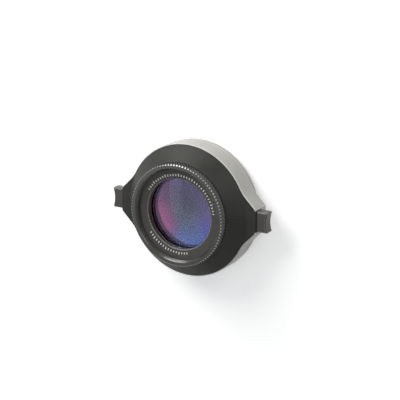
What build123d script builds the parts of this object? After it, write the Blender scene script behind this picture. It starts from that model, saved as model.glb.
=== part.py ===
# Macro conversion lens: a screw-in close-up lens in a sprung clip-on adapter.
# Millimetres. +Z is the optical axis, towards the subject. The lens lies on its back,
# on the tips of its two jaws, and its squeeze levers point along +X and -X.

import os
from math import cos, pi, radians, sin, sqrt

from build123d import *

os.makedirs("parts", exist_ok=True)

# Depths along the axis, from the rear
claw_reach = 2.6
rear_cover_depth = 3.2
housing_depth = 10.4
cone_height = 6.7
grip_width = 4.5

# Lens thread: the radii of the lens and of the adapter are stepped out and in from it
mount_thread_r = 21.24
mount_thread_gap = 0.03

# Lens barrel and its knurled grip
thread_relief = 0.34
barrel_wall = 1.3
barrel_lip = 0.3
hub_step = 2.96
hub_depth = 0.9
hub_gap = 0.1
filter_step = 2.86
filter_thread_length = 2.0
filter_relief = 0.6
lip_bevel = 0.6
grip_wall = 2.9
grip_end_drop = 0.7
grip_lead = 0.6
knurl_depth = 0.6
knurl_teeth = 100
knurl_rows = 4

# Adapter housing
mechanism_room = 13.1
housing_wall = 1.2
housing_edge = 0.4
lug_reach = 4.8
lug_wall = 0.8
shoulder_run = 10.0
shoulder_blend = 20.0
deck_height = 3.95
deck_thickness = 1.6
centre_room = 0.7

# Front cover
cover_inset = 0.45
cover_gap = 0.05
cover_plate = 0.7
cover_bevel = 0.3
cone_wall = 1.8
face_thickness = 2.2
collar_wall = 2.0
collar_length = 5.9

# Rear cover
rear_step = 0.4
rear_plate = 2.2
rear_rim = 1.3
rear_edge = 0.3
window_wall = 0.9
notch_height = 0.9
notch_depth = 1.0
notch_from, notch_to = 22.0, 36.0

# Screws, from the rear cover through the housing into the front cover
screw_x = 4.5
screw_inset = 3.4
screw_r = 1.0
screw_bite = 4.6
screw_clearance = 0.1
thread_gap = 0.02
head_r = 1.9
head_height = 1.3
head_gap = 0.15
cross_length, cross_width, cross_depth = 2.2, 0.5, 0.7
boss_r = 2.2
boss_extra = 0.2

# Jaws, and their travel from the position shown, in a 58 mm filter thread
travel_in = 3.9
travel_out = 4.5
slide_gap = 0.15
running_gap = 0.3
claw_end_gap = 0.4
claw_centre_x = 3.0
claw_thickness = 2.0
claw_half_angle = 26.0
claw_side_gap = 0.5
ridge_count = 3
ridge_pitch = 0.75
ridge_height = 0.4
ridge_start = 0.3
plate_thickness = 1.8
plate_clearance = 1.6
arm_end_x = 12.0
lever_reach = 6.3
lever_root = 3.0
lever_half = 5.4
lever_edge = 0.6
finger_hollow = 1.0

# Springs, between stops on the deck and seats on the jaw arms
spring_inset = 8.5
spring_wire = 0.5
spring_coil_r = 1.35
spring_turns = 6
stop_half = 1.3
seat_length = 3.5
seat_half = 2.4
seat_height = 4.4
spigot_r = 0.95
spigot_length = 1.0

# Posts under the front cover that keep the jaw arms down on the deck
post_r = 1.3
post_inset = 5.7
post_angle = 48.0

# Retaining rings
ring_gap = 0.05
name_ring_depth = 2.8
name_ring_edge = 1.3
name_ring_dish = 0.6
name_ring_lap = 0.95
name_ring_bevel = 0.3
name_ring_foot = 0.8
rear_ring_width = 2.0
rear_ring_depth = 2.2
spanner_width = 1.6
spanner_depth = 0.8

# Glass: a front element and a cemented pair, either side of a shoulder in the barrel
glass_gap = 0.1
front_glass_depth = 6.65
front_glass_edge = 2.95
front_glass_sag = 2.45
shoulder_thickness = 1.4
shoulder_width = 1.3
pair_front_sag = 0.8
pair_front_edge = 2.45
pair_joint_sag = 1.3
pair_back_edge = 2.5

# Radii of the lens
barrel_r = mount_thread_r - thread_relief
bore_r = barrel_r - barrel_wall
hub_r = mount_thread_r + hub_step
filter_thread_r = mount_thread_r + filter_step
filter_relief_r = filter_thread_r + filter_relief
grip_r = filter_thread_r + grip_wall
grip_end_r = grip_r - grip_end_drop
glass_r = bore_r - glass_gap
shoulder_hole_r = bore_r - shoulder_width
name_ring_hole_r = bore_r - name_ring_lap
rear_ring_hole_r = bore_r - rear_ring_width

# Radii and widths of the adapter
housing_inner_r = barrel_r + mechanism_room
housing_r = housing_inner_r + housing_wall
rear_cover_r = housing_r - rear_step
centre_r = barrel_r + centre_room
rim_r = housing_r - cover_inset - cover_gap
cone_slope = (rim_r - grip_r) / cone_height
cone_wall_run = cone_wall * sqrt(1 + cone_slope**2)
cover_bore_r = mount_thread_r + mount_thread_gap
collar_r = cover_bore_r + collar_wall
arm_outer_r = housing_inner_r - running_gap
arm_inner_r = barrel_r + plate_clearance
claw_r = rear_cover_r - window_wall - claw_end_gap - travel_out - claw_centre_x
window_half = claw_r * sin(radians(claw_half_angle)) + claw_side_gap
passage_half = lever_half + slide_gap
lug_end_half = passage_half + lug_wall
lug_end_x = housing_r + lug_reach
lever_out_x = lug_end_x + lever_reach
lever_in_x = housing_inner_r - lever_root
spring_y = housing_inner_r - spring_inset
screw_y = housing_inner_r - screw_inset
post_x = (housing_inner_r - post_inset) * cos(radians(post_angle))
post_y = (housing_inner_r - post_inset) * sin(radians(post_angle))
screw_spots = [(sx * screw_x, sy * screw_y) for sx in (-1, 1) for sy in (-1, 1)]
post_spots = [(sx * post_x, sy * post_y) for sx in (-1, 1) for sy in (-1, 1)]


def ball_radius(r, sag):
    """Radius of the ball whose cap of half width r is as high as sag."""
    return (r**2 + sag**2) / (2 * sag)


def cap_height(r, edge_r, sag):
    """Height of that cap over its edge, at a smaller radius."""
    ball = ball_radius(edge_r, sag)
    return sqrt(ball**2 - r**2) - (ball - sag)


# Heights
z_seat = claw_reach
z_joint = z_seat + rear_cover_depth
z_rim = z_joint + housing_depth
z_face = z_rim + cone_height
z_front = z_face + grip_width
z_deck = z_joint + deck_height
z_deck_under = z_deck - deck_thickness
z_plate_under = z_rim - cover_plate
z_floor = z_seat + rear_plate
z_slider = z_deck + slide_gap
z_lever_top = z_plate_under - slide_gap
z_head_seat = z_seat + head_height
z_screw_tip = z_deck + screw_bite
z_spring = z_slider + spring_coil_r + spring_wire
z_hub = z_face - hub_depth
z_name_ring = z_front - name_ring_depth
z_shelf = z_name_ring - name_ring_edge
z_glass_edge = z_front - front_glass_depth
z_shoulder = z_glass_edge - front_glass_edge
pair_rise = cap_height(shoulder_hole_r, glass_r, pair_front_sag)
z_pair_front = z_shoulder - shoulder_thickness - ring_gap - pair_rise
z_pair_joint = z_pair_front - pair_front_edge
z_pair_back = z_pair_joint - pair_back_edge
z_rear_ring = z_pair_back - rear_ring_depth
z_barrel_end = z_rear_ring - barrel_lip


def section(points):
    """A closed outline of (radius, height) points, turned about the axis."""
    with BuildSketch(Plane.XZ, mode=Mode.PRIVATE) as outline:
        with BuildLine():
            Polyline(*points, close=True)
        make_face()
    return revolve(outline.sketch, axis=Axis.Z, mode=Mode.PRIVATE)


def lug_outline(inset=0.0):
    """Outline of the adapter: a disc with two lugs, blended in by hollow shoulders."""
    foot = lug_end_half + shoulder_run
    with BuildSketch(mode=Mode.PRIVATE) as outline:
        Circle(housing_r)
        for side in (-1, 1):
            with BuildLine():
                Polyline(
                    (0, foot),
                    (side * (lug_end_x - shoulder_run), foot),
                    (side * lug_end_x, lug_end_half),
                    (side * lug_end_x, -lug_end_half),
                    (side * (lug_end_x - shoulder_run), -foot),
                    (0, -foot),
                    close=True,
                )
            make_face()
        corners = outline.vertices().filter_by(lambda v: lug_end_half + 1 < abs(v.Y) < foot)
        fillet(corners, radius=shoulder_blend)
        if inset:
            offset(amount=-inset, kind=Kind.INTERSECTION)
    return outline.sketch


def jaw_window(radius):
    """Opening for the claws: a straight slot across the middle, ended by a circle."""
    with BuildSketch(mode=Mode.PRIVATE) as opening:
        Circle(radius)
        Rectangle(2 * radius, 2 * window_half, mode=Mode.INTERSECT)
    return opening.sketch


def knurl_ring(height, tip, valley, phase):
    """Points round the grip, by turns on a tooth tip and in a valley."""
    step = pi / knurl_teeth
    radii = [tip if (k + phase) % 2 == 0 else valley for k in range(2 * knurl_teeth)]
    return [Vector(r * cos(k * step), r * sin(k * step), height) for k, r in enumerate(radii)]


def facet(*corners):
    return Face(Wire.make_polygon(corners))


def cross(location_list):
    """Cross recesses for the screw heads."""
    with BuildSketch(mode=Mode.PRIVATE) as recess:
        with Locations(*location_list):
            Rectangle(cross_length, cross_width)
            Rectangle(cross_width, cross_length)
    return recess.sketch


# Housing: the light side wall with its two lugs, and the deck that the jaws slide on
with BuildPart() as housing:
    with BuildSketch(Plane.XY.offset(z_joint)):
        add(lug_outline())
    extrude(amount=housing_depth)
    chamfer(housing.faces().sort_by(Axis.Z)[-1].edges(), length=housing_edge)
    with BuildSketch(Plane.XY.offset(z_plate_under)):
        add(lug_outline(cover_inset))
    extrude(amount=cover_plate, mode=Mode.SUBTRACT)
    with BuildSketch(Plane.XY.offset(z_deck)):
        Circle(housing_inner_r)
        Rectangle(2 * lug_end_x, 2 * passage_half)
    extrude(amount=z_rim - z_deck, mode=Mode.SUBTRACT)
    with BuildSketch(Plane.XY.offset(z_joint)):
        Circle(housing_inner_r)
    extrude(amount=z_deck_under - z_joint, mode=Mode.SUBTRACT)
    with BuildSketch(Plane.XY.offset(z_deck_under)):
        Circle(centre_r)
        add(jaw_window(housing_inner_r))
    extrude(amount=deck_thickness, mode=Mode.SUBTRACT)
    with BuildSketch(Plane.XY.offset(z_floor)):
        with Locations(*screw_spots):
            Circle(boss_r + boss_extra)
    extrude(amount=z_deck_under - z_floor)
    with BuildSketch(Plane.XY.offset(z_deck)):
        with Locations((0, spring_y), (0, -spring_y)):
            Rectangle(2 * stop_half, 2 * seat_half)
    extrude(amount=seat_height)
    for side in (-1, 1):
        for y in (-spring_y, spring_y):
            with BuildSketch(Plane(origin=(side * stop_half, y, z_spring), z_dir=(side, 0, 0))):
                Circle(spigot_r)
            extrude(amount=spigot_length)
    with BuildSketch(Plane.XY.offset(z_floor)):
        with Locations(*screw_spots):
            Circle(screw_r + screw_clearance)
    extrude(amount=z_deck - z_floor, mode=Mode.SUBTRACT)
housing.part.label = "housing"
export_step(housing.part, "parts/housing.step")

# Front cover: the black cone, its collar with the lens thread, and the flat lug faces
with BuildPart() as front_cover:
    with BuildSketch(Plane.XY.offset(z_deck)):
        with Locations(*screw_spots):
            Circle(boss_r)
    extrude(amount=z_face - z_deck)
    with BuildSketch(Plane.XY.offset(z_slider + plate_thickness + slide_gap)):
        with Locations(*post_spots):
            Circle(post_r)
    extrude(amount=z_face - z_slider)
    cone = [(0, z_deck), (rim_r, z_deck), (rim_r, z_rim), (grip_r, z_face), (0, z_face)]
    add(section(cone), mode=Mode.INTERSECT)
    roof = z_face - face_thickness
    roof_r = grip_r + (z_face - roof) * cone_slope - cone_wall_run
    plate_r = rim_r + cover_plate * cone_slope - cone_wall_run
    add(
        section(
            [
                (cover_bore_r, z_face - collar_length),
                (cover_bore_r, z_hub),
                (hub_r + hub_gap, z_hub),
                (hub_r + hub_gap, z_face),
                (grip_r, z_face),
                (rim_r, z_rim),
                (rim_r, z_plate_under),
                (plate_r, z_plate_under),
                (roof_r, roof),
                (collar_r, roof),
                (collar_r, z_face - collar_length),
            ]
        )
    )
    with BuildSketch(Plane.XY.offset(z_plate_under)):
        add(lug_outline(cover_inset + cover_gap))
        Rectangle(2 * lug_end_x, 2 * passage_half)
        Circle(plate_r, mode=Mode.SUBTRACT)
    extrude(amount=cover_plate)
    lug_ends = front_cover.edges().filter_by(Axis.Y).group_by(Axis.Z)[-1]
    chamfer(lug_ends.filter_by(lambda e: abs(e.center().X) > lug_end_x - cover_gap), length=cover_bevel)
    with BuildSketch(Plane.XY.offset(z_deck)):
        with Locations(*screw_spots):
            Circle(screw_r + thread_gap)
    extrude(amount=screw_bite + thread_gap, mode=Mode.SUBTRACT)
front_cover.part.label = "front_cover"
export_step(front_cover.part, "parts/front_cover.step")

# Rear cover: the ring that seats against a filter rim, open where the claws travel
with BuildPart() as rear_cover:
    with BuildSketch(Plane.XY.offset(z_seat)):
        Circle(rear_cover_r)
    extrude(amount=rear_cover_depth)
    chamfer(rear_cover.edges().filter_by(GeomType.CIRCLE), length=rear_edge)
    with BuildSketch(Plane.XY.offset(z_floor)):
        Circle(rear_cover_r - rear_rim)
    extrude(amount=z_joint - z_floor, mode=Mode.SUBTRACT)
    with BuildSketch(Plane.XY.offset(z_seat)):
        Circle(centre_r)
        add(jaw_window(rear_cover_r - window_wall))
    extrude(amount=rear_cover_depth, mode=Mode.SUBTRACT)
    with BuildSketch(Plane.XY.offset(z_seat)):
        with Locations(*screw_spots):
            Circle(head_r + head_gap)
    extrude(amount=head_height, mode=Mode.SUBTRACT)
    with BuildSketch(Plane.XY.offset(z_head_seat)):
        with Locations(*screw_spots):
            Circle(screw_r + screw_clearance)
    extrude(amount=z_floor - z_head_seat, mode=Mode.SUBTRACT)
    for turn in (0, 180):
        start = Plane.XZ.rotated((0, 0, turn + notch_from))
        with BuildSketch(start):
            with Locations((rear_cover_r, z_joint - notch_height / 2)):
                Rectangle(2 * notch_depth, notch_height)
        revolve(axis=Axis.Z, revolution_arc=notch_to - notch_from, mode=Mode.SUBTRACT)
rear_cover.part.label = "rear_cover"
export_step(rear_cover.part, "parts/rear_cover.step")

# Cover screws
with BuildPart() as cover_screws:
    with BuildSketch(Plane.XY.offset(z_seat)):
        with Locations(*screw_spots):
            Circle(head_r)
    extrude(amount=head_height)
    with BuildSketch(Plane.XY.offset(z_head_seat)):
        with Locations(*screw_spots):
            Circle(screw_r)
    extrude(amount=z_screw_tip - z_head_seat)
    with BuildSketch(Plane.XY.offset(z_seat)):
        add(cross(screw_spots))
    extrude(amount=cross_depth, mode=Mode.SUBTRACT)
cover_screws.part.label = "cover_screws"
export_step(cover_screws.part, "parts/cover_screws.step")

# Right jaw: squeeze lever, sliding plate with two arms, and a claw with thread ridges
with BuildPart() as right_jaw:
    with BuildSketch(Plane.XY.offset(z_slider)):
        with Locations((-travel_out, 0)):
            Circle(arm_outer_r)
        with Locations((travel_in, 0)):
            Circle(arm_inner_r, mode=Mode.SUBTRACT)
        with Locations((arm_end_x, 0)):
            Rectangle(housing_r, 2 * housing_r, align=(Align.MIN, Align.CENTER), mode=Mode.INTERSECT)
        with Locations((arm_inner_r + travel_in, 0)):
            Rectangle(lever_in_x - arm_inner_r, 2 * lever_half, align=(Align.MIN, Align.CENTER))
    extrude(amount=plate_thickness)
    with BuildSketch(Plane.XY.offset(z_slider)):
        with Locations((arm_end_x, spring_y), (arm_end_x, -spring_y)):
            Rectangle(seat_length, 2 * seat_half, align=(Align.MIN, Align.CENTER))
        with Locations((-travel_out, 0)):
            Circle(arm_outer_r, mode=Mode.INTERSECT)
    extrude(amount=seat_height)
    for y in (-spring_y, spring_y):
        with BuildSketch(Plane(origin=(arm_end_x, y, z_spring), z_dir=(-1, 0, 0))):
            Circle(spigot_r)
        extrude(amount=spigot_length)
    with BuildSketch(Plane.XY.offset(z_slider)):
        with BuildLine():
            back = Polyline(
                (lever_out_x, lever_half),
                (lever_in_x, lever_half),
                (lever_in_x, -lever_half),
                (lever_out_x, -lever_half),
            )
            ThreePointArc(back @ 1, (lever_out_x - finger_hollow, 0), back @ 0)
        make_face()
    extrude(amount=z_lever_top - z_slider)
    outer = right_jaw.edges().filter_by(lambda e: e.center().X > lever_in_x + 1)
    chamfer(outer, length=lever_edge)
    claw_base = claw_r - ridge_height
    ridges = []
    for k in range(ridge_count):
        low = ridge_start + k * ridge_pitch
        ridges += [(claw_base, low), (claw_r, low + ridge_pitch / 2)]
    claw_top = z_slider + plate_thickness / 2
    start = Plane(origin=(claw_centre_x, 0, 0), x_dir=(1, 0, 0), z_dir=(0, -1, 0))
    with BuildSketch(start.rotated((0, 0, -claw_half_angle))):
        with BuildLine():
            Polyline(
                (claw_r - claw_thickness, 0),
                (claw_base - ridge_start, 0),
                *ridges,
                (claw_base, ridge_start + ridge_count * ridge_pitch),
                (claw_base, claw_top),
                (claw_r - claw_thickness, claw_top),
                close=True,
            )
        make_face()
    revolve(axis=Axis((claw_centre_x, 0, 0), (0, 0, 1)), revolution_arc=2 * claw_half_angle)
right_jaw.part.label = "right_jaw"
export_step(right_jaw.part, "parts/right_jaw.step")

# Left jaw, the mirror image
with BuildPart() as left_jaw:
    mirror(right_jaw.part, about=Plane.YZ)
left_jaw.part.label = "left_jaw"
export_step(left_jaw.part, "parts/left_jaw.step")

# Springs: four open coils that push the jaws outwards
spring_names = {
    "spring_left_top": (-1, 1),
    "spring_right_top": (1, 1),
    "spring_left_low": (-1, -1),
    "spring_right_low": (1, -1),
}
spring_length = arm_end_x - stop_half - spring_wire
for name, (sx, sy) in spring_names.items():
    with BuildPart() as spring:
        with BuildLine():
            coil = Helix(
                pitch=spring_length / spring_turns,
                height=spring_length,
                radius=spring_coil_r,
                center=(sx * (stop_half + spring_wire / 2), sy * spring_y, z_spring),
                direction=(sx, 0, 0),
            )
        with BuildSketch(Plane(origin=coil @ 0, z_dir=coil % 0)):
            RegularPolygon(spring_wire / 2, 6)
        sweep(path=coil, is_frenet=True)
    spring.part.label = name
    export_step(spring.part, f"parts/{name}.step")

# Knurled grip: rows of low pyramids, each row turned by half a tooth
row_pitch = (grip_width - 2 * grip_lead) / (knurl_rows - 1)
rings = [knurl_ring(z_face, grip_end_r, grip_end_r, 0)]
for row in range(knurl_rows):
    height = z_face + grip_lead + row * row_pitch
    rings.append(knurl_ring(height, grip_r, grip_r - knurl_depth, row))
rings.append(knurl_ring(z_front, grip_end_r, grip_end_r, 0))
facets = [facet(*rings[0]), facet(*rings[-1])]
for band, (low, high) in enumerate(zip(rings, rings[1:])):
    for k in range(2 * knurl_teeth):
        corners = [low[k - 1], low[k], high[k], high[k - 1]]
        turn = (k + band + 1) % 2
        a, b, c, d = corners[turn:] + corners[:turn]
        facets += [facet(a, b, c), facet(a, c, d)]
grip = Solid(Shell(facets))

# Lens barrel: knurled grip, filter thread bore in front, lens thread and glass cell behind
with BuildPart() as lens_barrel:
    add(grip)
    z_thread_end = z_face - collar_length
    add(
        section(
            [
                (0, z_barrel_end),
                (barrel_r, z_barrel_end),
                (barrel_r, z_thread_end),
                (mount_thread_r, z_thread_end + mount_thread_r - barrel_r),
                (mount_thread_r, z_hub),
                (hub_r, z_hub),
                (hub_r, z_face),
                (0, z_face),
            ]
        )
    )
    add(
        section(
            [
                (0, z_front),
                (filter_thread_r + lip_bevel, z_front),
                (filter_thread_r, z_front - lip_bevel),
                (filter_thread_r, z_front - lip_bevel - filter_thread_length),
                (filter_relief_r, z_front - lip_bevel - filter_thread_length),
                (filter_relief_r, z_shelf),
                (bore_r, z_shelf),
                (bore_r, z_shoulder),
                (shoulder_hole_r, z_shoulder),
                (shoulder_hole_r, z_shoulder - shoulder_thickness),
                (bore_r, z_shoulder - shoulder_thickness),
                (bore_r, z_barrel_end),
                (0, z_barrel_end),
            ]
        ),
        mode=Mode.SUBTRACT,
    )
lens_barrel.part.label = "lens_barrel"
export_step(lens_barrel.part, "parts/lens_barrel.step")

# Name ring: the dished ring in front, whose foot holds the front element
foot_z = z_glass_edge + cap_height(name_ring_hole_r, glass_r, front_glass_sag) + ring_gap
dish_z = z_name_ring - name_ring_dish
with BuildPart() as name_ring:
    add(
        section(
            [
                (filter_relief_r - ring_gap, z_shelf),
                (filter_relief_r - ring_gap, z_name_ring),
                (name_ring_hole_r + name_ring_bevel, dish_z),
                (name_ring_hole_r, dish_z - name_ring_bevel),
                (name_ring_hole_r, foot_z),
                (name_ring_hole_r + name_ring_foot, foot_z),
                (name_ring_hole_r + name_ring_foot, z_shelf),
            ]
        )
    )
name_ring.part.label = "name_ring"
export_step(name_ring.part, "parts/name_ring.step")

# Rear retaining ring, with two slots for a spanner
with BuildPart() as rear_ring:
    add(
        section(
            [
                (rear_ring_hole_r, z_rear_ring),
                (bore_r - ring_gap, z_rear_ring),
                (bore_r - ring_gap, z_pair_back),
                (rear_ring_hole_r, z_pair_back),
            ]
        )
    )
    with BuildSketch(Plane.XY.offset(z_rear_ring)):
        Rectangle(2 * bore_r, spanner_width)
    extrude(amount=spanner_depth, mode=Mode.SUBTRACT)
rear_ring.part.label = "rear_ring"
export_step(rear_ring.part, "parts/rear_ring.step")


def glass_blank(top_edge, top_sag, bottom_edge, bottom_sag):
    """A lens element: its two edges' heights and how far each face rises in the middle."""
    with BuildSketch(Plane.XZ, mode=Mode.PRIVATE) as half:
        with BuildLine():
            corners = []
            for edge, sag in ((top_edge, top_sag), (bottom_edge, bottom_sag)):
                middle = edge + sag
                side = 1 if sag > 0 else -1
                if sag:
                    halfway = edge + side * cap_height(glass_r / 2, glass_r, abs(sag))
                    ThreePointArc((0, middle), (glass_r / 2, halfway), (glass_r, edge))
                else:
                    Line((0, middle), (glass_r, edge))
                corners.append((middle, edge))
            Line((0, corners[0][0]), (0, corners[1][0]))
            Line((glass_r, corners[0][1]), (glass_r, corners[1][1]))
        make_face()
    return revolve(half.sketch, axis=Axis.Z, mode=Mode.PRIVATE)


# Front element: domed to the front, flat behind, on the shoulder
with BuildPart() as front_element:
    add(glass_blank(z_glass_edge, front_glass_sag, z_shoulder, 0))
front_element.part.label = "front_element"
export_step(front_element.part, "parts/front_element.step")

# Cemented pair: a strong crown glass and a thin flint glass that fits its back
with BuildPart() as crown_element:
    add(glass_blank(z_pair_front, pair_front_sag, z_pair_joint, -pair_joint_sag))
crown_element.part.label = "crown_element"
export_step(crown_element.part, "parts/crown_element.step")

with BuildPart() as flint_element:
    add(glass_blank(z_pair_joint, -pair_joint_sag, z_pair_back, 0))
flint_element.part.label = "flint_element"
export_step(flint_element.part, "parts/flint_element.step")
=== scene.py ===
"""Looks of the macro conversion lens: a close-up lens in a clip-on adapter, on a pale table."""

import math

import bmesh
import bpy
from mathutils import Matrix, Vector


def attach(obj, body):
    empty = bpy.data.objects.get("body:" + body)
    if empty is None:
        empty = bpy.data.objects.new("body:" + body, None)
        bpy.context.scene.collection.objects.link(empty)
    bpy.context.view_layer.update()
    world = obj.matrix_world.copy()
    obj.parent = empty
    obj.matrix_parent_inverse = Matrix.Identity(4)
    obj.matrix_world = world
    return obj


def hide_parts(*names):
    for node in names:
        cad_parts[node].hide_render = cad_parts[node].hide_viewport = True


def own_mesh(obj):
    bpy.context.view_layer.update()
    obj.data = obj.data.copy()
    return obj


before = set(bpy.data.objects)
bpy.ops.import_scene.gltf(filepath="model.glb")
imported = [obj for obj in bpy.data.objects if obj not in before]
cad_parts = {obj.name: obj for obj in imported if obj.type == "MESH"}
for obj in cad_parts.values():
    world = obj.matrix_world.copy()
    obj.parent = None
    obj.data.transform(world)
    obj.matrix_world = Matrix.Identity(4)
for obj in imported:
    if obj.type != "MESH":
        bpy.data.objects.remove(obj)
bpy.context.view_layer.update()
MM = 0.001

# Heights along the optical axis and radii, in millimetres, as in the part's source
Z_BARREL_END, Z_SHOULDER_BACK, Z_SHOULDER = 8.804, 16.4, 17.8
Z_THREAD_END, Z_HUB, Z_FACE, Z_FRONT = 17.0, 22.0, 22.9, 27.4
Z_SHELF, Z_RING_FOOT, Z_RING_DISH, Z_RING_EDGE = 23.3, 21.012, 24.0, 24.6
Z_FILTER_LOW, Z_FILTER_HIGH = 24.8, 26.8
Z_PAIR_BACK, Z_PAIR_EDGE, Z_GLASS_EDGE = 11.304, 16.254, 20.75
PAIR_SAG, DOME_SAG = 0.8, 2.45
BORE_R, GLASS_R, SHOULDER_R = 19.6, 19.5, 18.3
RING_HOLE_R, RING_SLEEVE_R, RING_R = 18.65, 19.45, 24.65
GRIP_R, VALLEY_R, GRIP_END_R = 27.0, 26.4, 26.3
FILTER_R, FILTER_RELIEF_R, LIP_BEVEL_R = 24.1, 24.7, 24.7
LENS_THREAD_R, BARREL_R, HUB_R = 21.24, 20.9, 24.2
TEETH, ROWS, ROW_LEAD, ROW_PITCH = 100, 4, 0.6, 1.1

# Fine threads that the solids leave plain: depth (negative is inwards) and pitch
LENS_THREAD_DEPTH, LENS_THREAD_PITCH = -0.34, 0.75
FILTER_THREAD_DEPTH, FILTER_THREAD_PITCH = 0.42, 0.6

# Coil springs of round wire: inner end and length along X, place of their axis, radii, turns
SPRING_START, SPRING_LENGTH, SPRING_Y, SPRING_Z = 1.55, 10.2, 25.5, 11.75
COIL_R, WIRE_R, COIL_TURNS, STEPS_PER_TURN, WIRE_SIDES = 1.35, 0.25, 6, 20, 8

# Largest angle between faces that still shade as one round surface, in degrees
SOFT_EDGE, SOFT_GLASS_EDGE, SOFT_WIRE_EDGE = 24, 30, 60


# ---------------------------------------------------------------- node helpers


def maths(tree, operation, first, second=None, clamp=False):
    step = tree.nodes.new("ShaderNodeMath")
    step.operation, step.use_clamp = operation, clamp
    for socket, value in zip(step.inputs, (first, second)):
        if value is None:
            continue
        if isinstance(value, (int, float)):
            socket.default_value = value
        else:
            tree.links.new(value, socket)
    return step.outputs[0]


def distance_from_axis(tree, x, y):
    squares = [maths(tree, "POWER", value, 2.0) for value in (x, y)]
    return maths(tree, "SQRT", maths(tree, "ADD", *squares))


def blend_colours(tree, amount, first, second):
    mix = tree.nodes.new("ShaderNodeMix")
    mix.data_type = "RGBA"
    wanted = ((mix.inputs[0], amount), (mix.inputs[6], first), (mix.inputs[7], second))
    for socket, value in wanted:
        if isinstance(value, bpy.types.NodeSocket):
            tree.links.new(value, socket)
        elif isinstance(value, (int, float)):
            socket.default_value = value
        else:
            socket.default_value = (*value, 1)
    return mix.outputs[2]


def spread_values(tree, value, low, high, out_low, out_high):
    step = tree.nodes.new("ShaderNodeMapRange")
    tree.links.new(value, step.inputs["Value"])
    step.inputs["From Min"].default_value, step.inputs["From Max"].default_value = low, high
    step.inputs["To Min"].default_value, step.inputs["To Max"].default_value = out_low, out_high
    return step.outputs["Result"]


def new_finish(name):
    material = bpy.data.materials.new(name)
    material.use_nodes = True
    tree = material.node_tree
    return material, tree, tree.nodes["Principled BSDF"]


def seen_directly(tree):
    """1 for camera, glossy and transmission rays, 0 for the light that reaches surfaces."""
    path = tree.nodes.new("ShaderNodeLightPath").outputs
    camera_or_glossy = maths(tree, "MAXIMUM", path["Is Camera Ray"], path["Is Glossy Ray"])
    return maths(tree, "MAXIMUM", camera_or_glossy, path["Is Transmission Ray"])


# ---------------------------------------------------------------- camera, table and light


def photo_camera():
    """The camera of the photograph: in front and a little to the right, +Y up."""
    distance, roll = 0.8, math.radians(-0.39)
    data = bpy.data.cameras.new("camera")
    data.lens, data.sensor_width = 142.36, 36.0
    data.shift_x, data.shift_y = 0.06125, 0.04015
    data.clip_start, data.clip_end = 0.01, 10.0
    towards = Vector((0.5024, 0.2990, 0.8112)).normalized()
    right = Vector((0, 1, 0)).cross(towards).normalized()
    up = towards.cross(right)
    x_axis = right * math.cos(roll) + up * math.sin(roll)
    y_axis = up * math.cos(roll) - right * math.sin(roll)
    place = Matrix.Translation(Vector((0, 0, Z_FRONT * MM)) + towards * distance)
    camera = bpy.data.objects.new("camera", data)
    camera.matrix_world = place @ Matrix((x_axis, y_axis, towards)).transposed().to_4x4()
    bpy.context.scene.collection.objects.link(camera)
    bpy.context.scene.camera = camera


def softbox(name, place, aim, size, power, colour):
    """A rectangular studio light, placed, aimed and sized in millimetres."""
    data = bpy.data.lights.new(name, "AREA")
    data.shape, data.size, data.size_y = "RECTANGLE", size[0] * MM, size[1] * MM
    data.energy, data.color = power, colour
    lamp = bpy.data.objects.new(name, data)
    lamp.location = Vector(place) * MM
    lamp.rotation_mode = "QUATERNION"
    lamp.rotation_quaternion = (Vector(aim) - Vector(place)).to_track_quat("-Z", "Y")
    bpy.context.scene.collection.objects.link(lamp)


def studio_world():
    """A dim, cool fill on surfaces, and plain white wherever the world is seen or reflected."""
    world = bpy.data.worlds.new("studio")
    world.use_nodes = True
    tree = world.node_tree
    tree.nodes.clear()
    mix = tree.nodes.new("ShaderNodeMixShader")
    tree.links.new(seen_directly(tree), mix.inputs[0])
    for number, colour, strength in ((1, (0.93, 0.96, 1.0, 1), 0.30), (2, (1, 1, 1, 1), 1.0)):
        sky = tree.nodes.new("ShaderNodeBackground")
        sky.inputs["Color"].default_value = colour
        sky.inputs["Strength"].default_value = strength
        tree.links.new(sky.outputs[0], mix.inputs[number])
    out = tree.nodes.new("ShaderNodeOutputWorld")
    tree.links.new(mix.outputs[0], out.inputs[0])
    bpy.context.scene.world = world


def table_top():
    """A wide pale table that takes the lens's shadow and is white where it is seen."""
    half, white_lift = 6.0, 0.42
    mesh = bpy.data.meshes.new("table_top")
    corners = [(-half, -half, 0), (half, -half, 0), (half, half, 0), (-half, half, 0)]
    mesh.from_pydata(corners, [], [(0, 1, 2, 3)])
    table = bpy.data.objects.new("table_top", mesh)
    bpy.context.scene.collection.objects.link(table)
    material, tree, shader = new_finish("table_white")
    shader.inputs["Base Color"].default_value = (0.93, 0.93, 0.93, 1)
    shader.inputs["Roughness"].default_value = 0.9
    shader.inputs["Specular IOR Level"].default_value = 0.1
    shader.inputs["Emission Color"].default_value = (1, 1, 1, 1)
    glow = maths(tree, "MULTIPLY", seen_directly(tree), white_lift)
    tree.links.new(glow, shader.inputs["Emission Strength"])
    mesh.materials.append(material)


photo_camera()
studio_world()
table_top()
softbox("key", (-225, 360, 275), (0, 0, 15), (320, 320), 2.4, (1.0, 0.99, 0.97))
softbox("right", (330, 300, 230), (0, 0, 15), (240, 240), 0.55, (1.0, 0.98, 0.94))
softbox("window", (-250, -30, 380), (0, 5, 20), (210, 90), 0.05, (0.93, 0.96, 1.0))


# ---------------------------------------------------------------- finishes


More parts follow.
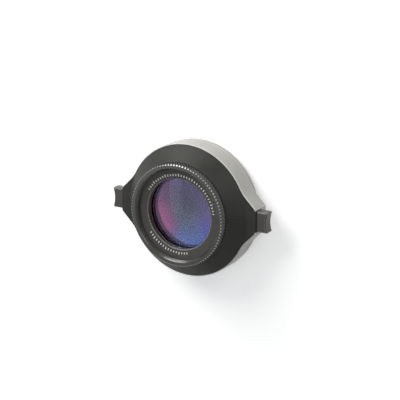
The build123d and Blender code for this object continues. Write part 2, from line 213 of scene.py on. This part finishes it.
def socket_group(name, inputs, outputs):
    """An empty shader node group with named inputs (with their values) and outputs."""
    group = bpy.data.node_groups.new(name, "ShaderNodeTree")
    group.interface.new_socket("Vector", in_out="INPUT", socket_type="NodeSocketVector")
    for label, value in inputs:
        socket = group.interface.new_socket(
            label, in_out="INPUT", socket_type="NodeSocketFloat"
        )
        socket.default_value = value
    for label, kind in outputs:
        group.interface.new_socket(label, in_out="OUTPUT", socket_type=kind)
    return group, group.nodes.new("NodeGroupInput"), group.nodes.new("NodeGroupOutput")


def build_grain():
    """Moulded or anodised skin: fine grain and slow, faint changes of tone."""
    group, source, sink = socket_group(
        "surface_grain",
        [("Fineness", 2500.0)],
        [("Height", "NodeSocketFloat"), ("Tone", "NodeSocketFloat")],
    )
    fine = group.nodes.new("ShaderNodeTexNoise")
    fine.inputs["Detail"].default_value = 3.0
    group.links.new(source.outputs["Vector"], fine.inputs["Vector"])
    group.links.new(source.outputs["Fineness"], fine.inputs["Scale"])
    slow = group.nodes.new("ShaderNodeTexNoise")
    slow.inputs["Scale"].default_value = 70.0
    slow.inputs["Detail"].default_value = 4.0
    group.links.new(source.outputs["Vector"], slow.inputs["Vector"])
    slow_share = maths(group, "MULTIPLY", slow.outputs["Fac"], 0.7)
    fine_share = maths(group, "MULTIPLY", fine.outputs["Fac"], 0.3)
    group.links.new(fine.outputs["Fac"], sink.inputs["Height"])
    group.links.new(maths(group, "ADD", slow_share, fine_share), sink.inputs["Tone"])
    return group


def build_scuff_and_highlight():
    """1 on sharp outer edges, broken up by noise, 0 on open faces; it masks edge wear and
    painted edge highlights.
    """
    group, source, sink = socket_group(
        "scuff_and_painted_highlight",
        [("Width", 0.0002), ("Evenness", 0.0)],
        [("Mask", "NodeSocketFloat"), ("Normal", "NodeSocketVector")],
    )
    bevel = group.nodes.new("ShaderNodeBevel")
    bevel.samples = 6
    group.links.new(source.outputs["Width"], bevel.inputs["Radius"])
    surface = group.nodes.new("ShaderNodeNewGeometry")
    turn = group.nodes.new("ShaderNodeVectorMath")
    turn.operation = "DOT_PRODUCT"
    group.links.new(bevel.outputs["Normal"], turn.inputs[0])
    group.links.new(surface.outputs["Normal"], turn.inputs[1])
    bend = maths(group, "SUBTRACT", 1.0, turn.outputs["Value"])
    edge = maths(group, "MULTIPLY", bend, 9.0, clamp=True)
    patches = group.nodes.new("ShaderNodeTexNoise")
    patches.inputs["Scale"].default_value = 420.0
    patches.inputs["Detail"].default_value = 3.0
    group.links.new(source.outputs["Vector"], patches.inputs["Vector"])
    uneven = maths(group, "MULTIPLY", patches.outputs["Fac"], 1.5)
    cover = maths(group, "ADD", uneven, source.outputs["Evenness"])
    group.links.new(maths(group, "MULTIPLY", edge, cover, clamp=True), sink.inputs["Mask"])
    group.links.new(bevel.outputs["Normal"], sink.inputs["Normal"])
    return group


def build_turned_lines():
    """Concentric tool marks round the optical axis."""
    group, source, sink = socket_group(
        "turned_lines",
        [("Pitch", 0.00025)],
        [("Height", "NodeSocketFloat"), ("Tone", "NodeSocketFloat")],
    )
    parts = group.nodes.new("ShaderNodeSeparateXYZ")
    group.links.new(source.outputs["Vector"], parts.inputs[0])
    radius = distance_from_axis(group, parts.outputs["X"], parts.outputs["Y"])
    turns = maths(group, "DIVIDE", radius, source.outputs["Pitch"])
    waves = maths(group, "SINE", maths(group, "MULTIPLY", turns, 2 * math.pi))
    spread = group.nodes.new("ShaderNodeTexNoise")
    spread.noise_dimensions = "1D"
    spread.inputs["Scale"].default_value = 2600.0
    spread.inputs["Detail"].default_value = 2.0
    group.links.new(radius, spread.inputs["W"])
    tone = maths(group, "ADD", maths(group, "MULTIPLY", waves, 0.25), spread.outputs["Fac"])
    group.links.new(tone, sink.inputs["Height"])
    group.links.new(tone, sink.inputs["Tone"])
    return group


GRAIN, SCUFF_AND_HIGHLIGHT, TURNED = build_grain(), build_scuff_and_highlight(), build_turned_lines()


def place_group(tree, group, coordinates, **values):
    made = tree.nodes.new("ShaderNodeGroup")
    made.node_tree = group
    tree.links.new(coordinates, made.inputs["Vector"])
    for label, value in values.items():
        made.inputs[label].default_value = value
    return made


def skin(name, dark, light, scuff_and_highlight_colour, roughness, fineness, bump, edge_width,
         specular=0.5, coat=0.0, metallic=0.0, lines=None, evenness=0.0):
    """A rigid skin: grain or turned lines, two tones, edges lightened for wear and on some
    finishes as a painted highlight, a soft round on every edge.
    """
    material, tree, shader = new_finish(name)
    place = tree.nodes.new("ShaderNodeTexCoord").outputs["Object"]
    if lines:
        surface = place_group(tree, TURNED, place, Pitch=lines)
    else:
        surface = place_group(tree, GRAIN, place, Fineness=fineness)
    height, tone = surface.outputs["Height"], surface.outputs["Tone"]
    edge_scuff_and_highlight = place_group(tree, SCUFF_AND_HIGHLIGHT, place, Width=edge_width, Evenness=evenness)
    body = blend_colours(tree, spread_values(tree, tone, 0.35, 0.65, 0.0, 1.0), dark, light)
    # Edge colour: wear on some finishes, a painted highlight on others
    colour = blend_colours(tree, edge_scuff_and_highlight.outputs["Mask"], body, scuff_and_highlight_colour)
    tree.links.new(colour, shader.inputs["Base Color"])
    rough = spread_values(tree, tone, 0.3, 0.7, roughness - 0.05, roughness + 0.05)
    tree.links.new(rough, shader.inputs["Roughness"])
    relief = tree.nodes.new("ShaderNodeBump")
    relief.inputs["Strength"].default_value = bump
    relief.inputs["Distance"].default_value = 0.00003
    tree.links.new(height, relief.inputs["Height"])
    tree.links.new(edge_scuff_and_highlight.outputs["Normal"], relief.inputs["Normal"])
    tree.links.new(relief.outputs["Normal"], shader.inputs["Normal"])
    shader.inputs["Specular IOR Level"].default_value = specular
    shader.inputs["Metallic"].default_value = metallic
    shader.inputs["Coat Weight"].default_value = coat
    shader.inputs["Coat Roughness"].default_value = 0.15
    return material


def front_glass_finish():
    material, tree, shader = new_finish("coated_front_glass")
    place = tree.nodes.new("ShaderNodeTexCoord").outputs["Object"]
    tone = place_group(tree, GRAIN, place, Fineness=25.0).outputs["Tone"]
    colour = blend_colours(tree, tone, (0.90, 0.92, 1.0), (0.97, 0.96, 1.0))
    tree.links.new(colour, shader.inputs["Base Color"])
    shader.inputs["Transmission Weight"].default_value = 1.0
    shader.inputs["Roughness"].default_value = 0.08
    shader.inputs["IOR"].default_value = 1.5
    shader.inputs["Specular IOR Level"].default_value = 0.25
    shader.inputs["Specular Tint"].default_value = (0.75, 0.72, 1.0, 1)
    return material


# Painted coating reflection of the inner glasses round their rim, from -180 to +180 degrees as 0
# to 1
PAINTED_RIM_REFLECTIONS = (
    (0.00, (0.330, 0.060, 0.170)),
    (0.12, (0.270, 0.040, 0.150)),
    (0.22, (0.030, 0.070, 0.200)),
    (0.33, (0.012, 0.050, 0.170)),
    (0.42, (0.035, 0.042, 0.200)),
    (0.52, (0.095, 0.060, 0.170)),
    (0.68, (0.060, 0.038, 0.110)),
    (0.80, (0.040, 0.030, 0.080)),
    (0.92, (0.130, 0.045, 0.110)),
    (1.00, (0.330, 0.060, 0.170)),
)


def painted_reflection_glass_finish():
    """Opaque dark mirror for the rear glasses with painted shade and painted reflection: dark
    grey shade in the middle, magenta to blue coating reflections round the rim.
    """
    material, tree, shader = new_finish("inner_glass_painted_shade_and_reflection")
    place = tree.nodes.new("ShaderNodeTexCoord").outputs["Object"]
    parts = tree.nodes.new("ShaderNodeSeparateXYZ")
    tree.links.new(place, parts.inputs[0])
    x, y = parts.outputs["X"], parts.outputs["Y"]
    angle = maths(tree, "ARCTAN2", y, x)
    # Painted coating reflection colours, set by the angle round the axis
    reflection_hues = tree.nodes.new("ShaderNodeValToRGB")
    tree.links.new(spread_values(tree, angle, -math.pi, math.pi, 0.0, 1.0), reflection_hues.inputs[0])
    ramp = reflection_hues.color_ramp
    while len(ramp.elements) < len(PAINTED_RIM_REFLECTIONS):
        ramp.elements.new(0.5)
    for element, (position, colour) in zip(ramp.elements, PAINTED_RIM_REFLECTIONS):
        element.position, element.color = position, (*colour, 1)
    # Painted shade in the middle of the glasses, going over to the painted reflections towards
    # the rim
    rim_reflection_share = spread_values(tree, distance_from_axis(tree, x, y), 0.004, 0.0175, 0.0, 1.0)
    tone = place_group(tree, GRAIN, place, Fineness=25.0).outputs["Tone"]
    shaded_middle = blend_colours(tree, tone, (0.022, 0.032, 0.044), (0.038, 0.050, 0.064))
    colour = blend_colours(tree, rim_reflection_share, shaded_middle, reflection_hues.outputs["Color"])
    tree.links.new(colour, shader.inputs["Base Color"])
    shader.inputs["Metallic"].default_value = 1.0
    shader.inputs["Roughness"].default_value = 0.12
    return material


def white_ink():
    material, tree, shader = new_finish("white_ink")
    place = tree.nodes.new("ShaderNodeTexCoord").outputs["Object"]
    tone = place_group(tree, GRAIN, place, Fineness=1500.0).outputs["Tone"]
    colour = blend_colours(tree, tone, (0.62, 0.62, 0.60), (0.80, 0.80, 0.78))
    tree.links.new(colour, shader.inputs["Base Color"])
    shader.inputs["Roughness"].default_value = 0.6
    return material


COVER_BLACK = skin(
    "cover_black", (0.030, 0.031, 0.027), (0.044, 0.045, 0.040), (0.07, 0.07, 0.07),
    roughness=0.44, fineness=2600.0, bump=0.35, edge_width=0.00018, specular=0.12,
)
# The near-white edge colour is a painted highlight along the housing's front and lug edges
HOUSING_GREY = skin(
    "housing_grey", (0.35, 0.345, 0.32), (0.42, 0.415, 0.39), (0.88, 0.88, 0.86),
    roughness=0.36, fineness=3000.0, bump=0.25, edge_width=0.00045, specular=0.45,
    evenness=0.8,
)
REAR_GREY = skin(
    "rear_grey", (0.34, 0.335, 0.31), (0.40, 0.395, 0.37), (0.66, 0.65, 0.63),
    roughness=0.40, fineness=3000.0, bump=0.25, edge_width=0.00018, specular=0.45,
)
# The light grey edge colour is a painted highlight on the jaws' chamfered edges
JAW_BLACK = skin(
    "jaw_black", (0.034, 0.032, 0.030), (0.050, 0.047, 0.044), (0.48, 0.48, 0.47),
    roughness=0.36, fineness=2200.0, bump=0.30, edge_width=0.00024, specular=0.4,
    evenness=0.4,
)
BARREL_BLACK = skin(
    "barrel_black", (0.014, 0.014, 0.012), (0.024, 0.024, 0.020), (0.16, 0.16, 0.14),
    roughness=0.24, fineness=3200.0, bump=0.20, edge_width=0.00010, specular=0.4, coat=0.4,
)
BEVEL_CUT = skin(
    "bevel_cut", (0.26, 0.26, 0.25), (0.34, 0.34, 0.33), (0.36, 0.36, 0.35),
    roughness=0.30, fineness=3200.0, bump=0.15, edge_width=0.00004, metallic=1.0,
)
# The pale edge colour is a painted highlight on the dished ring's edges
RING_BLACK = skin(
    "ring_black", (0.032, 0.030, 0.026), (0.060, 0.056, 0.050), (0.70, 0.70, 0.68),
    roughness=0.36, fineness=3200.0, bump=0.45, edge_width=0.00024, specular=0.3,
    lines=0.00032, evenness=0.8,
)
SCREW_STEEL = skin(
    "screw_steel", (0.45, 0.45, 0.46), (0.60, 0.60, 0.61), (0.75, 0.75, 0.75),
    roughness=0.28, fineness=3800.0, bump=0.30, edge_width=0.00010, metallic=1.0,
)
SPRING_STEEL = skin(
    "spring_steel", (0.50, 0.50, 0.51), (0.62, 0.62, 0.63), (0.70, 0.70, 0.70),
    roughness=0.24, fineness=5200.0, bump=0.15, edge_width=0.00005, metallic=1.0,
)
FRONT_GLASS, INNER_GLASS_SHADE_AND_REFLECTION, WHITE_INK = front_glass_finish(), painted_reflection_glass_finish(), white_ink()


# ---------------------------------------------------------------- making pieces


def show(name, mesh, body, material, nodes=(), more=()):
    """Puts a finished mesh on its body, in place of the CAD nodes it stands for."""
    piece = bpy.data.objects.new(name, mesh)
    bpy.context.scene.collection.objects.link(piece)
    parts = [face.material_index for face in mesh.polygons]
    mesh.materials.clear()
    for finish in (material, *more):
        mesh.materials.append(finish)
    if more:
        mesh.polygons.foreach_set("material_index", parts)
    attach(piece, body)
    if nodes:
        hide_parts(*nodes)
    return piece


def smooth_by_angle(bm, degrees):
    limit = math.radians(degrees)
    for face in bm.faces:
        face.smooth = True
    for edge in bm.edges:
        edge.smooth = len(edge.link_faces) == 2 and edge.calc_face_angle(0.0) < limit


def smoothed(node):
    """The CAD node's own shape with its corners welded and its round faces shaded softly."""
    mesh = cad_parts[node].data.copy()
    mesh.name = node + "_skin"
    bm = bmesh.new()
    bm.from_mesh(mesh)
    bmesh.ops.remove_doubles(bm, verts=bm.verts, dist=2e-6)
    smooth_by_angle(bm, SOFT_EDGE)
    bm.to_mesh(mesh)
    bm.free()
    return mesh


def on_circle(radius, angle, height):
    """A point in metres from a radius and a height in millimetres."""
    return radius * MM * math.cos(angle), radius * MM * math.sin(angle), height * MM


def turned(name, outline, segments=240, soft_edge=SOFT_EDGE):
    """A solid of revolution from a closed outline of (radius, height) points."""
    bm = bmesh.new()
    rings = []
    for radius, height in outline:
        angles = [2 * math.pi * k / segments for k in range(segments if radius else 1)]
        rings.append([bm.verts.new(on_circle(radius, angle, height)) for angle in angles])
    for low, high in zip(rings, rings[1:] + rings[:1]):
        if len(low) == 1 and len(high) == 1:
            continue
        for k in range(segments):
            n = (k + 1) % segments
            corners = [low[k % len(low)], low[n % len(low)],
                       high[n % len(high)], high[k % len(high)]]
            bm.faces.new(list(dict.fromkeys(corners)))
    bmesh.ops.recalc_face_normals(bm, faces=bm.faces)
    smooth_by_angle(bm, soft_edge)
    mesh = bpy.data.meshes.new(name)
    bm.to_mesh(mesh)
    bm.free()
    return mesh


def thread_outline(radius, depth, start, end, pitch):
    """Crests and roots of a fine thread, from start to end."""
    turns = max(1, int(abs(end - start) / pitch))
    step = (end - start) / turns
    points = []
    for k in range(turns):
        for share, offset in ((0.12, 0), (0.5, depth), (0.88, 0)):
            points.append((radius + offset, start + (k + share) * step))
    return points


def dome_outline(radius, edge, sag, steps):
    """A spherical glass face of the given sag, from the edge in to the axis."""
    ball = (radius**2 + sag**2) / (2 * sag)
    points = []
    for k in range(steps, -1, -1):
        r = radius * k / steps
        points.append((r, edge + math.sqrt(ball**2 - r**2) - (ball - sag)))
    return points


class Tree:
    """A Geometry Nodes tree under construction, with named inputs."""

    def __init__(self, name, inputs):
        self.group = bpy.data.node_groups.new(name, "GeometryNodeTree")
        new_socket = self.group.interface.new_socket
        for label, kind, value in inputs:
            socket = new_socket(label, in_out="INPUT", socket_type=kind)
            if value is not None:
                socket.default_value = value
        new_socket("Geometry", in_out="OUTPUT", socket_type="NodeSocketGeometry")
        self.source = self.group.nodes.new("NodeGroupInput").outputs
        self.sink = self.group.nodes.new("NodeGroupOutput").inputs[0]

    def add(self, kind, settings=None, **wires):
        """A wired node; the names n0, n1 and so on stand for sockets by number."""
        made = self.group.nodes.new(kind)
        for label, value in (settings or {}).items():
            setattr(made, label, value)
        for label, value in wires.items():
            by_number = label[0] == "n" and label[1:].isdigit()
            self.wire(value, made.inputs[int(label[1:]) if by_number else label])
        return made

    def wire(self, value, socket):
        if isinstance(value, bpy.types.NodeSocket):
            self.group.links.new(value, socket)
        else:
            socket.default_value = value

    def maths(self, operation, first, second=0.0):
        made = self.add("ShaderNodeMath", {"operation": operation}, n0=first, n1=second)
        return made.outputs[0]

    def between(self, value, low, high):
        """1 where the value lies between the two bounds, else 0."""
        above = self.maths("GREATER_THAN", value, low)
        return self.maths("MULTIPLY", above, self.maths("LESS_THAN", value, high))

    def finished(self, geometry, material, start=None):
        """Realized, with its material, as a plain mesh."""
        real = self.add("GeometryNodeRealizeInstances", Geometry=geometry)
        dressed = self.add("GeometryNodeSetMaterial", Geometry=real.outputs[0],
                           Material=material)
        self.wire(dressed.outputs[0], self.sink)
        name = self.group.name
        carrier = bpy.data.objects.new(name, start or bpy.data.meshes.new(name))
        bpy.context.scene.collection.objects.link(carrier)
        modifier = carrier.modifiers.new("build", "NODES")
        modifier.node_group = self.group
        bpy.context.view_layer.update()
        evaluated = carrier.evaluated_get(bpy.context.evaluated_depsgraph_get())
        mesh = bpy.data.meshes.new_from_object(evaluated)
        mesh.name = name
        bpy.data.objects.remove(carrier)
        return mesh


def tooth_strip():
    """One pitch of the grip: half diamonds in rows, each tooth cut to a bevel in front."""
    step, skirt = math.pi / TEETH, 0.1
    row_turns, front_turns = (0, 1, 2), (0, 0.5, 1.5, 2)
    bm = bmesh.new()

    def ring(height, radii, turns):
        return [bm.verts.new(on_circle(r, k * step, height)) for k, r in zip(turns, radii)]

    rings = [ring(Z_FACE, [GRIP_END_R] * 3, row_turns)]
    for row in range(ROWS):
        radii = [GRIP_R if (k + row) % 2 == 0 else VALLEY_R for k in row_turns]
        rings.append(ring(Z_FACE + ROW_LEAD + row * ROW_PITCH, radii, row_turns))
    for band, (low, high) in enumerate(zip(rings, rings[1:])):
        for k in (1, 2):
            corners = [low[k - 1], low[k], high[k], high[k - 1]]
            turn = (k + band + (band > 0)) % 2
            a, b, c, d = corners[turn:] + corners[:turn]
            bm.faces.new((a, b, c))
            bm.faces.new((a, c, d))
    edge = ring(Z_FRONT, [GRIP_END_R] * 4, front_turns)
    left, tip, right = rings[-1]
    for corners in (
        (left, edge[1], edge[0]), (left, tip, edge[1]), (tip, edge[2], edge[1]),
        (tip, right, edge[2]), (right, edge[3], edge[2]),
    ):
        bm.faces.new(corners)
    inner_low = ring(Z_FACE + skirt, [GRIP_END_R - skirt] * 3, row_turns)
    inner_high = ring(Z_FRONT - skirt, [GRIP_END_R - skirt] * 4, front_turns)
    for inner, outer in ((inner_low, rings[0]), (inner_high, edge)):
        for k in range(1, len(inner)):
            bm.faces.new((inner[k - 1], inner[k], outer[k], outer[k - 1]))
    bm.faces.new((*inner_low, *reversed(inner_high)))
    mesh = bpy.data.meshes.new("tooth_strip")
    bm.to_mesh(mesh)
    bm.free()
    return mesh


def knurl():
    """The tooth strip copied round the grip and welded into one ring."""
    tree = Tree("knurl", [
        ("Strip", "NodeSocketGeometry", None),
        ("Teeth", "NodeSocketInt", TEETH),
    ])
    source = tree.source
    points = tree.add("GeometryNodePoints", Count=source["Teeth"])
    index = tree.add("GeometryNodeInputIndex").outputs[0]
    full_turns = tree.maths("MULTIPLY", index, 2 * math.pi)
    turn = tree.add("ShaderNodeCombineXYZ", Z=tree.maths("DIVIDE", full_turns, source["Teeth"]))
    spot = tree.add("GeometryNodeSetPosition", Geometry=points.outputs[0], Position=(0, 0, 0))
    copies = tree.add("GeometryNodeInstanceOnPoints", Points=spot.outputs[0],
                      Instance=source["Strip"], Rotation=turn.outputs[0])
    real = tree.add("GeometryNodeRealizeInstances", Geometry=copies.outputs[0])
    welded = tree.add("GeometryNodeMergeByDistance", Geometry=real.outputs[0],
                      Distance=0.000004)
    mesh = tree.finished(welded.outputs[0], BARREL_BLACK, tooth_strip())
    bm = bmesh.new()
    bm.from_mesh(mesh)
    bmesh.ops.recalc_face_normals(bm, faces=bm.faces)
    for face in bm.faces:
        face.smooth = False
        face.material_index = int(is_tooth_bevel(face))
    bm.to_mesh(mesh)
    bm.free()
    return mesh


def is_tooth_bevel(face):
    """True for the triangle from a tooth's tip in the last row up to the front edge."""
    last_row = Z_FACE + ROW_LEAD + (ROWS - 1) * ROW_PITCH
    heights = sorted(corner.co.z / MM for corner in face.verts)
    on_front = len(heights) == 3 and heights[1] > Z_FRONT - 0.01
    tip = any(corner.co.xy.length > (GRIP_R - 0.1) * MM for corner in face.verts)
    return on_front and tip and heights[0] > last_row - 0.01


def ring_marks():
    """Plain tick marks on the dished ring, over the top and at the lower left."""
    tree = Tree("ring_marks", [
        ("Inner radius", "NodeSocketFloat", 20.1 * MM),
        ("Mark length", "NodeSocketFloat", 1.4 * MM),
        ("Mark width", "NodeSocketFloat", 0.52 * MM),
        ("Mark thickness", "NodeSocketFloat", 0.06 * MM),
        ("Spacing", "NodeSocketFloat", math.radians(4.5)),
        ("Ring height", "NodeSocketFloat", 24.21 * MM),
    ])
    source = tree.source
    points = tree.add("GeometryNodePoints", Count=80)
    index = tree.add("GeometryNodeInputIndex").outputs[0]
    angle = tree.maths("SUBTRACT", tree.maths("MULTIPLY", index, source["Spacing"]), math.pi)
    spot = tree.add(
        "ShaderNodeCombineXYZ",
        X=tree.maths("MULTIPLY", source["Inner radius"], tree.maths("COSINE", angle)),
        Y=tree.maths("MULTIPLY", source["Inner radius"], tree.maths("SINE", angle)),
        Z=source["Ring height"],
    )
    placed = tree.add("GeometryNodeSetPosition", Geometry=points.outputs[0],
                      Position=spot.outputs[0])

    # Every fifth mark has the full length, the others three quarters of it
    fifth = tree.maths("COMPARE", tree.maths("MODULO", index, 5.0), 0.0)
    share = tree.maths("ADD", 0.75, tree.maths("MULTIPLY", fifth, 0.25))
    size = tree.add("ShaderNodeCombineXYZ",
                    X=tree.maths("MULTIPLY", source["Mark length"], share),
                    Y=source["Mark width"], Z=source["Mark thickness"])
    mark = tree.add("GeometryNodeMeshCube", Size=(1, 1, 1))
    lifted = tree.add("GeometryNodeTransform", Geometry=mark.outputs[0],
                      Translation=(0.5, 0, 0))
    tilt = -math.atan2(Z_RING_EDGE - Z_RING_DISH, FILTER_RELIEF_R - RING_HOLE_R)
    turn = tree.add("ShaderNodeCombineXYZ", Y=tilt, Z=angle)

    degrees = tree.maths("MULTIPLY", angle, 180 / math.pi)
    marked = tree.maths("ADD", tree.between(degrees, 8.0, 151.0),
                        tree.between(degrees, -145.0, -72.0))
    copies = tree.add("GeometryNodeInstanceOnPoints", Points=placed.outputs[0],
                      Instance=lifted.outputs[0], Rotation=turn.outputs[0],
                      Scale=size.outputs[0], Selection=marked)
    return tree.finished(copies.outputs[0], WHITE_INK)


def spring_wire(side, row):
    """An open coil of round wire along X, from its stop on the deck to its seat on the jaw."""
    bm = bmesh.new()
    rise = SPRING_LENGTH / COIL_TURNS / (2 * math.pi)
    rings = []
    for k in range(COIL_TURNS * STEPS_PER_TURN + 1):
        turns = k / STEPS_PER_TURN
        a = 2 * math.pi * turns
        along_x = SPRING_START + SPRING_LENGTH * turns / COIL_TURNS
        centre = Vector((along_x, COIL_R * math.cos(a), COIL_R * math.sin(a)))
        along = Vector((rise, -COIL_R * math.sin(a), COIL_R * math.cos(a))).normalized()
        out = Vector((0, math.cos(a), math.sin(a)))
        across = along.cross(out)
        ring = []
        for s in range(WIRE_SIDES):
            b = 2 * math.pi * s / WIRE_SIDES
            p = centre + (out * math.cos(b) + across * math.sin(b)) * WIRE_R
            place = Vector((side * p.x, row * SPRING_Y + p.y, SPRING_Z + p.z)) * MM
            ring.append(bm.verts.new(place))
        rings.append(ring)
    for low, high in zip(rings, rings[1:]):
        for s in range(WIRE_SIDES):
            n = (s + 1) % WIRE_SIDES
            bm.faces.new([low[s], low[n], high[n], high[s]])
    bm.faces.new(rings[0])
    bm.faces.new(rings[-1])
    bmesh.ops.recalc_face_normals(bm, faces=bm.faces)
    smooth_by_angle(bm, SOFT_WIRE_EDGE)
    mesh = bpy.data.meshes.new("spring_wire")
    bm.to_mesh(mesh)
    bm.free()
    return mesh


# ---------------------------------------------------------------- the pieces

for name, node, material, slot in (
    ("adapter_housing", "housing", HOUSING_GREY, "housing_grey"),
    ("cone_cover", "front_cover", COVER_BLACK, "cover_black"),
    ("rear_ring_cover", "rear_cover", REAR_GREY, "rear_grey"),
    ("screws", "cover_screws", SCREW_STEEL, "screw_steel"),
):
    show(name, smoothed(node), "adapter", material, [node])
for hand in ("right", "left"):
    jaw = hand + "_jaw"
    show(hand + "_squeeze_jaw", smoothed(jaw), jaw, JAW_BLACK, [jaw])

barrel_outline = [
    (BARREL_R, Z_BARREL_END),
    (BARREL_R, Z_THREAD_END),
    *thread_outline(LENS_THREAD_R, LENS_THREAD_DEPTH, Z_THREAD_END + 0.1, Z_HUB - 0.1,
                    LENS_THREAD_PITCH),
    (LENS_THREAD_R, Z_HUB),
    (HUB_R, Z_HUB),
    (HUB_R, Z_FACE),
    (GRIP_END_R, Z_FACE),
    (GRIP_END_R, Z_FRONT),
    (LIP_BEVEL_R, Z_FRONT),
    (FILTER_R, Z_FILTER_HIGH),
    *thread_outline(FILTER_R, FILTER_THREAD_DEPTH, Z_FILTER_HIGH - 0.05, Z_FILTER_LOW,
                    FILTER_THREAD_PITCH),
    (FILTER_R, Z_FILTER_LOW),
    (FILTER_RELIEF_R, Z_FILTER_LOW),
    (FILTER_RELIEF_R, Z_SHELF),
    (BORE_R, Z_SHELF),
    (BORE_R, Z_SHOULDER),
    (SHOULDER_R, Z_SHOULDER),
    (SHOULDER_R, Z_SHOULDER_BACK),
    (BORE_R, Z_SHOULDER_BACK),
    (BORE_R, Z_BARREL_END),
]
show("lens_tube", turned("lens_tube", barrel_outline), "adapter", BARREL_BLACK,
     ["lens_barrel"])
show("grip_knurl", knurl(), "adapter", BARREL_BLACK, ["lens_barrel"],
     [BEVEL_CUT])

ring_outline = [
    (RING_R, Z_SHELF),
    (RING_R, Z_RING_EDGE - 0.15),
    (RING_R - 0.15, Z_RING_EDGE - 0.02),
    (RING_HOLE_R + 0.3, Z_RING_DISH),
    (RING_HOLE_R, Z_RING_DISH - 0.3),
    (RING_HOLE_R, Z_RING_FOOT),
    (RING_SLEEVE_R, Z_RING_FOOT),
    (RING_SLEEVE_R, Z_SHELF),
]
show("dished_ring", turned("dished_ring", ring_outline), "adapter", RING_BLACK,
     ["name_ring"])
show("ring_marks", ring_marks(), "adapter", WHITE_INK)
show("rear_lock_ring", smoothed("rear_ring"), "adapter", RING_BLACK,
     ["rear_ring"])

front_outline = [(0, Z_SHOULDER), (GLASS_R, Z_SHOULDER),
                 *dome_outline(GLASS_R, Z_GLASS_EDGE, DOME_SAG, 48)]
show("front_glass", turned("front_glass", front_outline, soft_edge=SOFT_GLASS_EDGE),
     "adapter", FRONT_GLASS, ["front_element"])
pair_outline = [(0, Z_PAIR_BACK), (GLASS_R, Z_PAIR_BACK),
                *dome_outline(GLASS_R, Z_PAIR_EDGE, PAIR_SAG, 40)]
show("rear_glass_pair", turned("rear_glass_pair", pair_outline, soft_edge=SOFT_GLASS_EDGE),
     "adapter", INNER_GLASS_SHADE_AND_REFLECTION, ["crown_element", "flint_element"])

for side, hand in ((1, "right"), (-1, "left")):
    for row, level in ((1, "top"), (-1, "low")):
        name = f"spring_{hand}_{level}"
        spring = show("coil_" + name, spring_wire(side, row), "adapter", SPRING_STEEL,
                      [name])
        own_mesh(spring)

scene = bpy.context.scene
scene.view_settings.view_transform = "Standard"
